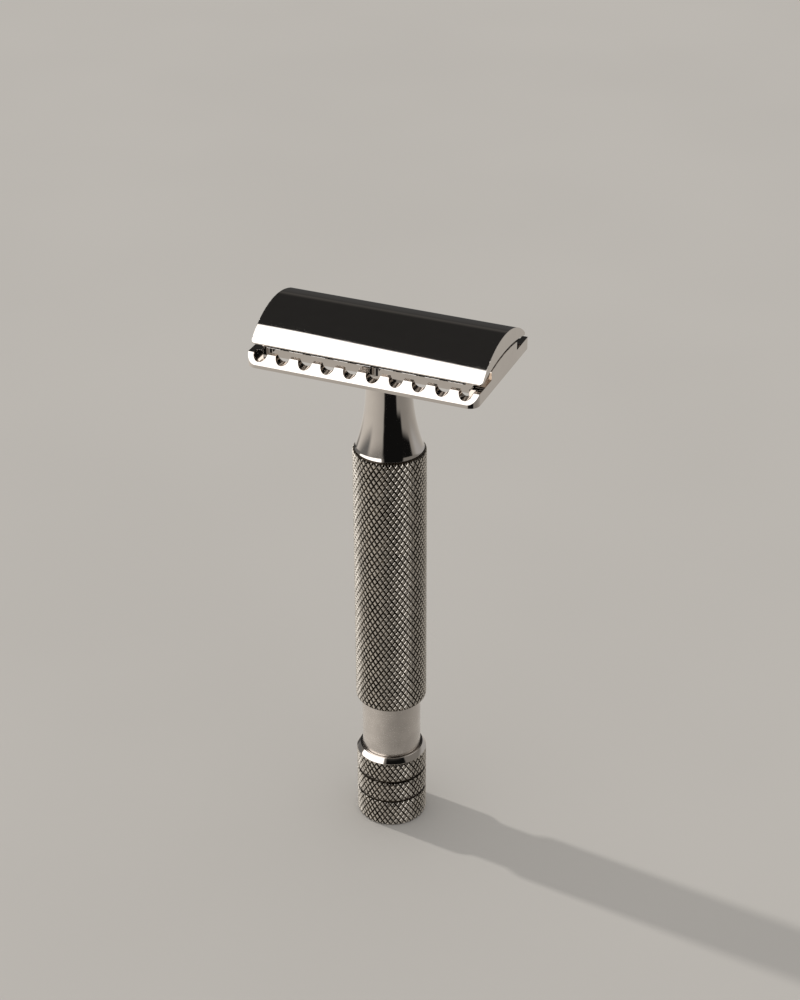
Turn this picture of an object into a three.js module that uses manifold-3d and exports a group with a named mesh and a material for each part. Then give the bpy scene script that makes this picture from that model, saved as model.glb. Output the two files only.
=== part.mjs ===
// A double-edge safety razor whose bottom knob draws the cap down onto the blade.
// Millimetres. The origin is the centre of the foot, +Z runs up the handle,
// +X runs along the head and -Y is one of its two alike shaving sides.
import * as THREE from 'three';
import { mergeVertices } from 'three/addons/utils/BufferGeometryUtils.js';
import Module from 'manifold-3d';

const wasm = await Module();
wasm.setup();

// ---- clearances ----
const SEAT_GAP = 0.1; // between faces that are pressed, brazed or clamped together
const BORE_GAP = 0.2; // on the radius, between a bore and what sits or turns in it
const CLAMP_GAP = 0.175; // each side of the clamped blade
const THREAD_GAP = 0.15; // on the radius, between the stud and its socket
const THRUST_PLAY = 0.45; // along the axis, at the washers over the knob
const PAST = 1; // how far a cutting body runs past the faces it cuts
const FULL_ROUND = 0.99; // share of its half width that a slot's round end may take

// ---- the head: sizes of its own ----
const head = {
  length: 43.6,
  plateWidth: 27.0, // across the two guards at the underside
  plateThickness: 2.3,
  cornerRadius: 1.9,
  sideHeight: 0.65, // upright strip under each guard bevel
  bevelRun: 1.5, // how far each bevel leans inwards
  platformWidth: 12.6,
  platformHeight: 4.45, // crown of the blade bed over the underside
  capWidth: 21.6,
  capEdge: 3.3, // height of the cap's lower edges over the underside
  capEdgeThickness: 0.2,
  capCrown: 8.1, // height of the cap's ridge over the underside
};
const blade = {
  length: 43.0,
  width: 22.0, // measured flat, before it is bent over the bed
  thickness: 0.1,
  edgeLength: 37.5,
  tabWidth: 13.0,
  slotLength: 36.0,
  slotMargin: 0.45, // between a locating pin and the side of the blade's long slot
  eyeMargin: 0.7, // between the stud and the blade's round eye
};
const scallop = { count: 10, endMargin: 2.45, radius: 1.35, lift: 0.15, intoSlot: 0.3 };
const latherSlot = { width: 3.0, lip: 0.9, web: 1.6, endWall: 2.2, corner: 0.75 };

// ---- the handle: sizes of its own ----
const grip = { wall: 0.95, bottom: 27.4, top: 82.0, chamfer: 0.4 };
const tube = { radius: 5.65, wall: 1.15, intoKnob: 3.0 };
const neck = {
  wall: 0.96, // at the top, under the plate
  length: 18.3,
  flare: 40, // radius of the concave side
  flareSteps: 8,
  rimHeight: 0.5,
  spigot: 2.2, // length let into the grip
  spigotToTube: 1.1,
  letIn: 1.0, // depth of the plate's recess that takes the neck's top
};
const knob = {
  wall: 0.95, // around the mouth that takes the tube
  height: 16.0,
  topChamfer: 0.7,
  topChamferHeight: 1.0,
  footChamfer: 0.3,
  grooves: [5.75, 10.5],
  grooveDepth: 0.25,
  grooveHalfWidth: 0.2,
  hubFloor: 4.1,
};
const stud = { radius: 2.4, intoCap: 1.5, reach: 8.4, chamfer: 0.4 };
const pin = { radius: 1.15, spacing: 26.4, intoCap: 0.8, short: 0.6, chamfer: 0.25 };
const rod = { radius: 1.9, bottom: 5.2, tapRadius: 1.35, tapDepth: 5.0 };
const socket = { wall: 0.55, length: 16.0, grip: 6.6, pinRadius: 0.6 };
const bush = { length: 4.8, inset: 1.2 };
const clip = { thickness: 0.7, radius: 3.0, opening: 1.3, grooveDepth: 0.4 };
const washer = { thickness: 0.45, waveThickness: 0.2, waveHeight: 0.14, waves: 3 };
const plug = { seat: 1.55, thickness: 1.7, chamfer: 0.15 }; // seat: width of the shell's foot around it
const screw = { headRadius: 3.0, headHeight: 1.8, radius: 1.2, hexRadius: 1.5, hexDepth: 1.0 };

// ---- places that follow from them ----
const plateBottom = grip.top + SEAT_GAP + neck.length;
const halfLength = head.length / 2;
const land = head.plateThickness;
const undersideCrown = head.platformHeight + 2 * CLAMP_GAP + blade.thickness;
const undersideRadius = arcRadius(head.capWidth / 2, undersideCrown - head.capEdge);
const arcCentre = undersideCrown - undersideRadius;
const gripRadius = tube.radius + BORE_GAP + grip.wall;
const knobRadius = tube.radius + BORE_GAP + knob.wall;
const tubeBottom = knob.height - tube.intoKnob;
const tubeTop = grip.top + SEAT_GAP - neck.spigot - neck.spigotToTube;
const tubeBore = tube.radius - tube.wall;
const socketBore = stud.radius + THREAD_GAP;
const socketRadius = socketBore + socket.wall;
const neckBore = socketRadius + BORE_GAP;
const neckTopRadius = neckBore + neck.wall;
const neckRimRadius = gripRadius - grip.chamfer;
const socketTop = plateBottom - SEAT_GAP;
const socketBottom = socketTop - socket.length;
const bushTop = tubeTop - BORE_GAP;
const shoulder = tubeBottom - washer.thickness - washer.waveThickness - 2 * washer.waveHeight - THRUST_PLAY;
const plugRadius = knobRadius - plug.seat;

/** Radius of the arc that spans a half chord with a given rise. */
function arcRadius(halfChord, rise) {
  return (halfChord ** 2 + rise ** 2) / (2 * rise);
}

/** Points of an arc about (0, centre) from one half width to the other, steps apart. */
function arcPoints(centre, radius, fromY, toY, steps) {
  const start = Math.asin(fromY / radius);
  const end = Math.asin(toY / radius);
  return Array.from({ length: steps + 1 }, (_, i) => {
    const angle = start + ((end - start) * i) / steps;
    return new THREE.Vector2(radius * Math.sin(angle), centre + radius * Math.cos(angle));
  });
}

/** A solid of revolution about Z, from [radius, height] pairs listed anticlockwise. */
function turned(pairs, segments = 64) {
  const points = pairs.map(([r, z]) => new THREE.Vector2(r, z));
  const geometry = new THREE.LatheGeometry(points, segments);
  return geometry.rotateX(Math.PI / 2);
}

/** A tube or washer about Z. */
function ring(inner, outer, bottom, top, segments = 64) {
  return turned([[inner, bottom], [outer, bottom], [outer, top], [inner, top], [inner, bottom]], segments);
}

/** A plain round bar about Z. */
function bar(radius, bottom, top, segments = 32) {
  return turned([[0, bottom], [radius, bottom], [radius, top], [0, top]], segments);
}

/** A bar with the same chamfer at both ends. */
function chamferedBar(radius, bottom, top, chamfer, segments = 32) {
  const inner = radius - chamfer;
  return turned([
    [0, bottom], [inner, bottom], [radius, bottom + chamfer],
    [radius, top - chamfer], [inner, top], [0, top],
  ], segments);
}

/** A plan outline raised from one height to another. */
function raised(shape, bottom, top, curveSegments = 8) {
  const geometry = new THREE.ExtrudeGeometry(shape, { depth: top - bottom, bevelEnabled: false, curveSegments });
  return geometry.translate(0, 0, bottom);
}

/** A section drawn in Y and Z, run along X and centred on it. */
function alongX(points, length) {
  const geometry = new THREE.ExtrudeGeometry(new THREE.Shape(points), { depth: length, bevelEnabled: false });
  const turn = new THREE.Matrix4().makeBasis(
    new THREE.Vector3(0, 1, 0), new THREE.Vector3(0, 0, 1), new THREE.Vector3(1, 0, 0));
  return geometry.applyMatrix4(turn).translate(-length / 2, 0, 0);
}

/** A rectangle with rounded corners, centred. */
function roundedRectangle(length, width, radius) {
  const x = length / 2;
  const y = width / 2;
  const shape = new THREE.Shape();
  shape.moveTo(-x + radius, -y);
  shape.lineTo(x - radius, -y);
  shape.absarc(x - radius, -y + radius, radius, -Math.PI / 2, 0);
  shape.lineTo(x, y - radius);
  shape.absarc(x - radius, y - radius, radius, 0, Math.PI / 2);
  shape.lineTo(-x + radius, y);
  shape.absarc(-x + radius, y - radius, radius, Math.PI / 2, Math.PI);
  shape.lineTo(-x, -y + radius);
  shape.absarc(-x + radius, -y + radius, radius, Math.PI, 1.5 * Math.PI);
  return shape;
}

/** A closed geometry as a manifold solid. */
function solid(geometry) {
  const bare = geometry.clone();
  bare.deleteAttribute('normal');
  bare.deleteAttribute('uv');
  const merged = mergeVertices(bare, 1e-4);
  return new wasm.Manifold(new wasm.Mesh({
    numProp: 3,
    vertProperties: new Float32Array(merged.attributes.position.array),
    triVerts: new Uint32Array(merged.index.array),
  }));
}

/** A manifold solid back as a geometry. */
function geometryOf(body) {
  const mesh = body.getMesh();
  const geometry = new THREE.BufferGeometry();
  geometry.setAttribute('position', new THREE.BufferAttribute(mesh.vertProperties, 3));
  geometry.setIndex(new THREE.BufferAttribute(mesh.triVerts, 1));
  return geometry;
}

/** One geometry less others. */
function cut(geometry, tools) {
  return geometryOf(tools.reduce((body, tool) => body.subtract(solid(tool)), solid(geometry)));
}

/** What two geometries share. */
function common(first, second) {
  return geometryOf(solid(first).intersect(solid(second)));
}

/** A bar lying along X, through the axis at a height. */
function crossBar(radius, halfSpan, height, segments = 24) {
  const geometry = bar(radius, -halfSpan, halfSpan, segments);
  return geometry.rotateY(Math.PI / 2).translate(0, 0, height);
}

const paint = {
  polished: { color: 0xb9b4ab, roughness: 0.08, metalness: 1 },
  satin: { color: 0xa59b8c, roughness: 0.35, metalness: 1 },
  knurled: { color: 0x9c9284, roughness: 0.4, metalness: 1 },
  bladeSteel: { color: 0xc4c6c8, roughness: 0.22, metalness: 1 },
  brass: { color: 0xb08d4f, roughness: 0.35, metalness: 1 },
  spring: { color: 0x8d8f92, roughness: 0.3, metalness: 1 },
};

const razor = new THREE.Group();

/** Adds a named piece with a material of its own. */
function add(name, geometry, finish) {
  const mesh = new THREE.Mesh(geometry, new THREE.MeshStandardMaterial(finish));
  mesh.name = name;
  razor.add(mesh);
}

// ---- base plate ----

/** Section of the plate in Y and Z over its own underside. */
function plateSection() {
  const outer = head.plateWidth / 2;
  const top = outer - head.bevelRun;
  const bed = head.platformWidth / 2;
  const bedRadius = undersideRadius - 2 * CLAMP_GAP - blade.thickness;
  return [
    new THREE.Vector2(-outer, 0),
    new THREE.Vector2(outer, 0),
    new THREE.Vector2(outer, head.sideHeight),
    new THREE.Vector2(top, land),
    new THREE.Vector2(bed, land),
    ...arcPoints(arcCentre, bedRadius, bed, -bed, 12),
    new THREE.Vector2(-bed, land),
    new THREE.Vector2(-top, land),
    new THREE.Vector2(-outer, head.sideHeight),
  ];
}

/** Round-bottomed cuts across both guards. */
function scallopCutters() {
  const outer = head.plateWidth / 2;
  const inner = outer - head.bevelRun - latherSlot.lip - scallop.intoSlot;
  const pitch = (head.length - 2 * scallop.endMargin) / (scallop.count - 1);
  const cutters = [];
  for (let i = 0; i < scallop.count; i += 1) {
    for (const side of [-1, 1]) {
      const cutter = bar(scallop.radius, inner, outer + PAST, 20).rotateX(-side * Math.PI / 2);
      cutters.push(cutter.translate(scallop.endMargin - halfLength + i * pitch, 0, land + scallop.lift));
    }
  }
  return cutters;
}

/** The four long slots that lather runs through. */
function latherCutters() {
  const outerY = head.plateWidth / 2 - head.bevelRun - latherSlot.lip;
  const slotLength = halfLength - latherSlot.endWall - latherSlot.web / 2;
  const middleX = latherSlot.web / 2 + slotLength / 2;
  const middleY = outerY - latherSlot.width / 2;
  const shape = roundedRectangle(slotLength, latherSlot.width, latherSlot.corner);
  const cutters = [];
  for (const x of [-1, 1]) {
    for (const y of [-1, 1]) {
      cutters.push(raised(shape, -PAST, land + PAST, 4).translate(x * middleX, y * middleY, 0));
    }
  }
  return cutters;
}

function basePlate() {
  const above = undersideCrown + PAST;
  const outline = raised(roundedRectangle(head.length, head.plateWidth, head.cornerRadius), -PAST, above);
  const body = common(alongX(plateSection(), head.length), outline);
  const pinHoles = [-1, 1].map((side) =>
    bar(pin.radius + BORE_GAP, -PAST, above, 24).translate((side * pin.spacing) / 2, 0, 0));
  return cut(body, [
    ...scallopCutters(),
    ...latherCutters(),
    ...pinHoles,
    bar(stud.radius + BORE_GAP, -PAST, above),
    bar(neckTopRadius + SEAT_GAP, -PAST, neck.letIn, 64),
  ]).translate(0, 0, plateBottom);
}

add('base_plate', basePlate(), paint.polished);

// ---- cap, with its stud and two pins ----

function topCap() {
  const edge = head.capWidth / 2;
  const shoulderHeight = head.capEdge + head.capEdgeThickness;
  const radius = arcRadius(edge, head.capCrown - shoulderHeight);
  const section = [
    ...arcPoints(arcCentre, undersideRadius, -edge, edge, 16),
    ...arcPoints(head.capCrown - radius, radius, edge, -edge, 32),
  ];
  const holes = [bar(stud.radius + SEAT_GAP, 0, undersideCrown + stud.intoCap)];
  for (const side of [-1, 1]) {
    const hole = bar(pin.radius + SEAT_GAP, 0, undersideCrown + pin.intoCap, 24);
    holes.push(hole.translate((side * pin.spacing) / 2, 0, 0));
  }
  return cut(alongX(section, head.length), holes).translate(0, 0, plateBottom);
}

const studTop = plateBottom + undersideCrown + stud.intoCap - SEAT_GAP;
const pinTop = plateBottom + undersideCrown + pin.intoCap - SEAT_GAP;

function locatingPin(side) {
  const body = chamferedBar(pin.radius, plateBottom + pin.short, pinTop, pin.chamfer, 24);
  return body.translate((side * pin.spacing) / 2, 0, 0);
}

add('top_cap', topCap(), paint.polished);
add('cap_stud', chamferedBar(stud.radius, plateBottom - stud.reach, studTop, stud.chamfer), paint.satin);
add('locating_pin_left', locatingPin(-1), paint.satin);
add('locating_pin_right', locatingPin(1), paint.satin);

// ---- blade, bent over the bed ----

/** Flat outline of the blade, seen from above at its bent width. */
function bladeOutline(halfWidth) {
  const end = blade.length / 2;
  const edge = blade.edgeLength / 2;
  const tab = blade.tabWidth / 2;
  return new THREE.Shape([
    new THREE.Vector2(-edge, -halfWidth), new THREE.Vector2(edge, -halfWidth),
    new THREE.Vector2(edge, -tab), new THREE.Vector2(end, -tab),
    new THREE.Vector2(end, tab), new THREE.Vector2(edge, tab),
    new THREE.Vector2(edge, halfWidth), new THREE.Vector2(-edge, halfWidth),
    new THREE.Vector2(-edge, tab), new THREE.Vector2(-end, tab),
    new THREE.Vector2(-end, -tab), new THREE.Vector2(-edge, -tab),
  ]);
}

function bentBlade() {
  const outerRadius = undersideRadius - CLAMP_GAP;
  const innerRadius = outerRadius - blade.thickness;
  const half = blade.width / 2 / ((outerRadius + innerRadius) / 2);
  const topEdge = outerRadius * Math.sin(half);
  const bottomEdge = innerRadius * Math.sin(half);
  const section = [
    ...arcPoints(arcCentre, innerRadius, -bottomEdge, bottomEdge, 24),
    ...arcPoints(arcCentre, outerRadius, topEdge, -topEdge, 24),
  ];
  const outline = raised(bladeOutline(blade.width / 2), 0, undersideCrown);
  const slotWidth = 2 * (pin.radius + blade.slotMargin);
  const slot = roundedRectangle(blade.slotLength, slotWidth, (slotWidth / 2) * FULL_ROUND);
  return cut(common(alongX(section, blade.length), outline), [
    raised(slot, 0, undersideCrown),
    bar(stud.radius + blade.eyeMargin, 0, undersideCrown),
  ]).translate(0, 0, plateBottom);
}

add('blade', bentBlade(), paint.bladeSteel);

// ---- neck ----

function neckBody() {
  const top = plateBottom + neck.letIn - SEAT_GAP;
  const bottom = grip.top + SEAT_GAP;
  const flareTop = Math.sqrt(neck.flare ** 2 - (neck.flare - (neckRimRadius - neckTopRadius)) ** 2);
  const rim = bottom + neck.rimHeight;
  const flare = Array.from({ length: neck.flareSteps + 1 }, (_, i) => {
    const down = flareTop * (1 - i / neck.flareSteps);
    return [neckTopRadius + neck.flare - Math.sqrt(neck.flare ** 2 - down ** 2), rim + flareTop - down];
  });
  return turned([
    [neckBore, bottom - neck.spigot],
    [tube.radius, bottom - neck.spigot],
    [tube.radius, bottom],
    [neckRimRadius, bottom],
    ...flare,
    [neckTopRadius, top],
    [neckBore, top],
    [neckBore, bottom - neck.spigot],
  ]);
}

add('neck', neckBody(), paint.polished);

// ---- grip sleeve over the core tube ----

function gripSleeve() {
  const bore = tube.radius + BORE_GAP;
  return turned([
    [bore, grip.bottom],
    [neckRimRadius, grip.bottom],
    [gripRadius, grip.bottom + grip.chamfer],
    [gripRadius, grip.top - grip.chamfer],
    [neckRimRadius, grip.top],
    [bore, grip.top],
    [bore, grip.bottom],
  ]);
}

add('grip_sleeve', gripSleeve(), paint.knurled);
add('core_tube', ring(tubeBore, tube.radius, tubeBottom, tubeTop), paint.satin);

// ---- guide bushes in the tube ----

const bushRadius = tubeBore - SEAT_GAP;
const bushBore = rod.radius + BORE_GAP;
const lowerBushBottom = tubeBottom + bush.inset;
add('upper_bush', ring(bushBore, bushRadius, bushTop - bush.length, bushTop, 48), paint.brass);
add('lower_bush', ring(bushBore, bushRadius, lowerBushBottom, lowerBushBottom + bush.length, 48), paint.brass);

// ---- draw rod and its threaded socket ----

const clipBottom = bushTop + SEAT_GAP;
const clipTop = clipBottom + clip.thickness;
const rodTop = socketBottom + socket.grip - BORE_GAP;
const socketPinHeight = socketBottom + socket.grip / 2;

function drawRod() {
  const grooveRadius = rod.radius - clip.grooveDepth;
  const tapTop = rod.bottom + rod.tapDepth;
  const body = turned([
    [0, tapTop], [rod.tapRadius, tapTop], [rod.tapRadius, rod.bottom], [rod.radius, rod.bottom],
    [rod.radius, clipBottom - SEAT_GAP], [grooveRadius, clipBottom - SEAT_GAP],
    [grooveRadius, clipTop + SEAT_GAP], [rod.radius, clipTop + SEAT_GAP],
    [rod.radius, rodTop], [0, rodTop],
  ], 32);
  return cut(body, [crossBar(socket.pinRadius + SEAT_GAP, rod.radius + PAST, socketPinHeight)]);
}

function rodSocket() {
  const shank = rod.radius + SEAT_GAP;
  const waist = socketBottom + socket.grip;
  const body = turned([
    [shank, socketBottom], [socketRadius, socketBottom], [socketRadius, socketTop], [socketBore, socketTop],
    [socketBore, waist], [shank, waist], [shank, socketBottom],
  ], 48);
  return cut(body, [crossBar(socket.pinRadius + SEAT_GAP, socketRadius + PAST, socketPinHeight)]);
}

/** A flat snap ring, open on one side. */
function retainingClip() {
  const inner = rod.radius - clip.grooveDepth + SEAT_GAP;
  const gap = clip.opening / 2;
  const innerAngle = Math.asin(gap / inner);
  const outerAngle = Math.asin(gap / clip.radius);
  const shape = new THREE.Shape();
  shape.absarc(0, 0, clip.radius, outerAngle, 2 * Math.PI - outerAngle);
  shape.absarc(0, 0, inner, 2 * Math.PI - innerAngle, innerAngle, true);
  return raised(shape, clipBottom, clipTop, 24);
}

add('draw_rod', drawRod(), paint.satin);
add('rod_socket', rodSocket(), paint.brass);
add('socket_pin', crossBar(socket.pinRadius, socketRadius - SEAT_GAP, socketPinHeight), paint.spring);
add('retaining_clip', retainingClip(), paint.spring);

// ---- washers between the tube and the knob ----

const thrustTop = tubeBottom - SEAT_GAP;
const thrustBottom = thrustTop - washer.thickness;
const waveMiddle = (shoulder + thrustBottom) / 2;
add('thrust_washer', ring(rod.radius + 2 * BORE_GAP, tube.radius, thrustBottom, thrustTop, 48), paint.brass);

/** A thin ring whose faces rise and fall as they go round. */
function waveWasher() {
  const half = washer.waveThickness / 2;
  const inner = rod.radius + 3 * BORE_GAP;
  const geometry = ring(inner, tube.radius - BORE_GAP, waveMiddle - half, waveMiddle + half, 48);
  const place = geometry.attributes.position;
  for (let i = 0; i < place.count; i += 1) {
    const angle = Math.atan2(place.getY(i), place.getX(i));
    place.setZ(i, place.getZ(i) + washer.waveHeight * Math.cos(washer.waves * angle));
  }
  return geometry;
}

add('wave_washer', waveWasher(), paint.spring);

// ---- knob ----

const plugBore = plugRadius + SEAT_GAP;
const plugCeiling = plug.thickness + BORE_GAP;

/** Outline of one turned groove on the knob's side. */
function knobGroove(height) {
  const half = knob.grooveHalfWidth;
  return [[knobRadius, height - half], [knobRadius - knob.grooveDepth, height], [knobRadius, height + half]];
}

function knobShell() {
  const mouth = tube.radius + BORE_GAP;
  const screwHead = screw.headRadius + BORE_GAP;
  const shank = screw.radius + BORE_GAP;
  const rodBore = rod.radius + SEAT_GAP;
  return turned([
    [plugBore, 0],
    [knobRadius - knob.footChamfer, 0],
    [knobRadius, knob.footChamfer],
    ...knob.grooves.flatMap(knobGroove),
    [knobRadius, knob.height - knob.topChamferHeight],
    [knobRadius - knob.topChamfer, knob.height],
    [mouth, knob.height],
    [mouth, shoulder],
    [rodBore, shoulder],
    [rodBore, rod.bottom - SEAT_GAP],
    [shank, rod.bottom - SEAT_GAP],
    [shank, knob.hubFloor],
    [screwHead, knob.hubFloor],
    [screwHead, plugCeiling],
    [plugBore, plugCeiling],
    [plugBore, 0],
  ]);
}

function knobScrew() {
  const headTop = knob.hubFloor - SEAT_GAP;
  const headBottom = headTop - screw.headHeight;
  const tip = rod.bottom + rod.tapDepth - 2 * BORE_GAP;
  const body = turned([
    [0, headBottom], [screw.headRadius, headBottom], [screw.headRadius, headTop],
    [screw.radius, headTop], [screw.radius, tip], [0, tip],
  ], 32);
  return cut(body, [bar(screw.hexRadius, headBottom - PAST, headBottom + screw.hexDepth, 6)]);
}

add('knob_shell', knobShell(), paint.knurled);
add('knob_screw', knobScrew(), paint.spring);
add('knob_base_plug', chamferedBar(plugRadius, 0, plug.thickness, plug.chamfer, 64), paint.satin);

export default razor;
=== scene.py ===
"""A double-edge safety razor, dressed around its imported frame.

Lengths in the classes are millimetres, and a mesh turns into metres when it becomes a piece.
The foot stands at the origin, +Z runs up the handle and +X along the head.
"""

from __future__ import annotations

import logging
import math
from dataclasses import dataclass
from enum import Enum

import bmesh
import bpy
from mathutils import Matrix, Vector

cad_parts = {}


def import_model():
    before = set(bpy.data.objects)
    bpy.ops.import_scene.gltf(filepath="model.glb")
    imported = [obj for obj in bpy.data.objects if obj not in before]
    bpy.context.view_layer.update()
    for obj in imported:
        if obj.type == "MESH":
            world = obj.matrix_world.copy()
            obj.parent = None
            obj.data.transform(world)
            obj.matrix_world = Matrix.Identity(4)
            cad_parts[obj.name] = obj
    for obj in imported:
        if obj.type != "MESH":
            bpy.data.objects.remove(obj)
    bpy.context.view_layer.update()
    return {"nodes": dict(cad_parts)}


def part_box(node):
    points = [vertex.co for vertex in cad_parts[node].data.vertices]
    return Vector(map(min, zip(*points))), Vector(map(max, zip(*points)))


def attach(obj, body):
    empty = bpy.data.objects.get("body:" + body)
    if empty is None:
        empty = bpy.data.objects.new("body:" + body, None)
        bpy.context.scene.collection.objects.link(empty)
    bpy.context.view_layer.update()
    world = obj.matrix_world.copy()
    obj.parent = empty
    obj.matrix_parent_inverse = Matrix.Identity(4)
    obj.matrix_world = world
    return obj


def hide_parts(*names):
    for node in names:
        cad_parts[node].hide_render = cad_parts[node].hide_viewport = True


MM = 0.001
PAST = 1.0  # how far a cutting body runs past what it cuts
SAME_POINT = 1e-5  # corners of a drawn mesh closer than this are one
SAME_CUT_POINT = 0.0008  # corners of a trimmed mesh closer than this are one
FINE_TURN = 192  # straight steps round a polished piece
KNURL_TURN = 156  # straight steps round a knurled piece, four to a column of diamonds
CRISP = 30.0  # edges sharper than this many degrees stay crisp
CRISP_TURNED = 40.0  # the same for a plain turned piece
LOG = logging.getLogger("razor")

Point = tuple[float, float]
Colour = tuple[float, float, float]


# ---------------------------------------------------------------- node trees

# A Mix node's colour sockets go by number, because those of its other kinds share their names.
MIX_SHARE, MIX_FIRST, MIX_SECOND, MIX_RESULT = 0, 6, 7, 2


class Nodes:
    """Lays nodes in a shader or geometry tree."""

    def __init__(self, tree: bpy.types.NodeTree) -> None:
        """Keeps the tree.

        Args:
            tree: The tree that nodes are added to.
        """
        self.tree = tree

    def feed(self, socket: bpy.types.NodeSocket, value: object) -> None:
        """Links a socket or a node's first output to a socket, or sets its constant.

        Args:
            socket: The input that is fed.
            value: A node, an output socket or a constant.
        """
        if isinstance(value, bpy.types.Node):
            value = value.outputs[0]
        if isinstance(value, bpy.types.NodeSocket):
            self.tree.links.new(value, socket)
        else:
            socket.default_value = value

    def add(self, kind: str, inputs: dict | None = None, **settings: object) -> bpy.types.Node:
        """Adds one node.

        Args:
            kind: The node's type.
            inputs: Values or sockets by input name or number.
            **settings: The node's own properties.

        Returns:
            The new node.
        """
        node = self.tree.nodes.new(kind)
        for name, value in settings.items():
            setattr(node, name, value)
        for key, value in (inputs or {}).items():
            self.feed(node.inputs[key], value)
        return node

    def math(self, operation: str, *values: object) -> bpy.types.NodeSocket:
        """Adds a Math node and returns its result."""
        return self.add("ShaderNodeMath", dict(enumerate(values)), operation=operation).outputs[0]

    def vector(self, operation: str, *values: object) -> bpy.types.Node:
        """Adds a Vector Math node."""
        return self.add("ShaderNodeVectorMath", dict(enumerate(values)), operation=operation)

    def ramp(self, value: object, low: object, high: object, start: object = 0.0,
             end: object = 1.0) -> bpy.types.NodeSocket:
        """Eases from start to end as a value goes from low to high.

        Args:
            value: The driving socket.
            low: Where the change begins.
            high: Where it ends.
            start: Result at and below low.
            end: Result at and above high.

        Returns:
            The result socket.
        """
        inputs = {"Value": value, "From Min": low, "From Max": high, "To Min": start, "To Max": end}
        return self.add("ShaderNodeMapRange", inputs, interpolation_type="SMOOTHSTEP").outputs[0]

    def blend(self, share: object, first: object, second: object) -> bpy.types.NodeSocket:
        """Mixes two colours and returns the result."""
        inputs = {MIX_SHARE: share, MIX_FIRST: first, MIX_SECOND: second}
        return self.add("ShaderNodeMix", inputs, data_type="RGBA").outputs[MIX_RESULT]

    def split(self, value: object) -> bpy.types.NodeOutputs:
        """Separates a vector and returns its three sockets."""
        return self.add("ShaderNodeSeparateXYZ", {0: value}).outputs

    def join(self, x: object, y: object, z: object) -> bpy.types.NodeSocket:
        """Combines three numbers into a vector."""
        return self.add("ShaderNodeCombineXYZ", {0: x, 1: y, 2: z}).outputs[0]

    def grain(self, vector: object, scale: float, detail: float = 2.0) -> bpy.types.NodeSocket:
        """Adds a noise texture and returns its value."""
        inputs = {"Vector": vector, "Scale": scale, "Detail": detail}
        return self.add("ShaderNodeTexNoise", inputs).outputs[0]


# ------------------------------------------------------------------ finishes

# Noise scales are once a millimetre, and a range is the part of the noise that becomes 0 to 1.
CLOUD_SCALE, CLOUD_DETAIL, CLOUD_RANGE = 0.35, 4.0, (0.3, 0.7)
SMUDGE_SCALE, SMUDGE_DETAIL, SMUDGE_RANGE = 0.22, 3.0, (0.45, 0.75)
PATCH_SCALE, PATCH_DETAIL, PATCH_RANGE = 0.8, 3.0, (0.35, 0.7)
LINE_DETAIL, WAVE_DETAIL, HAIR_RANGE = 3.0, 1.0, (0.62, 0.8)
LENGTHWISE_DRAW, ROUND_DRAW = 0.04, 0.15  # how slowly tool lines change along themselves


class Lay(Enum):
    """Which way a tool's fine lines run on a piece."""

    ROUND = "round the handle's axis"
    LENGTHWISE = "along the head"


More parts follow.
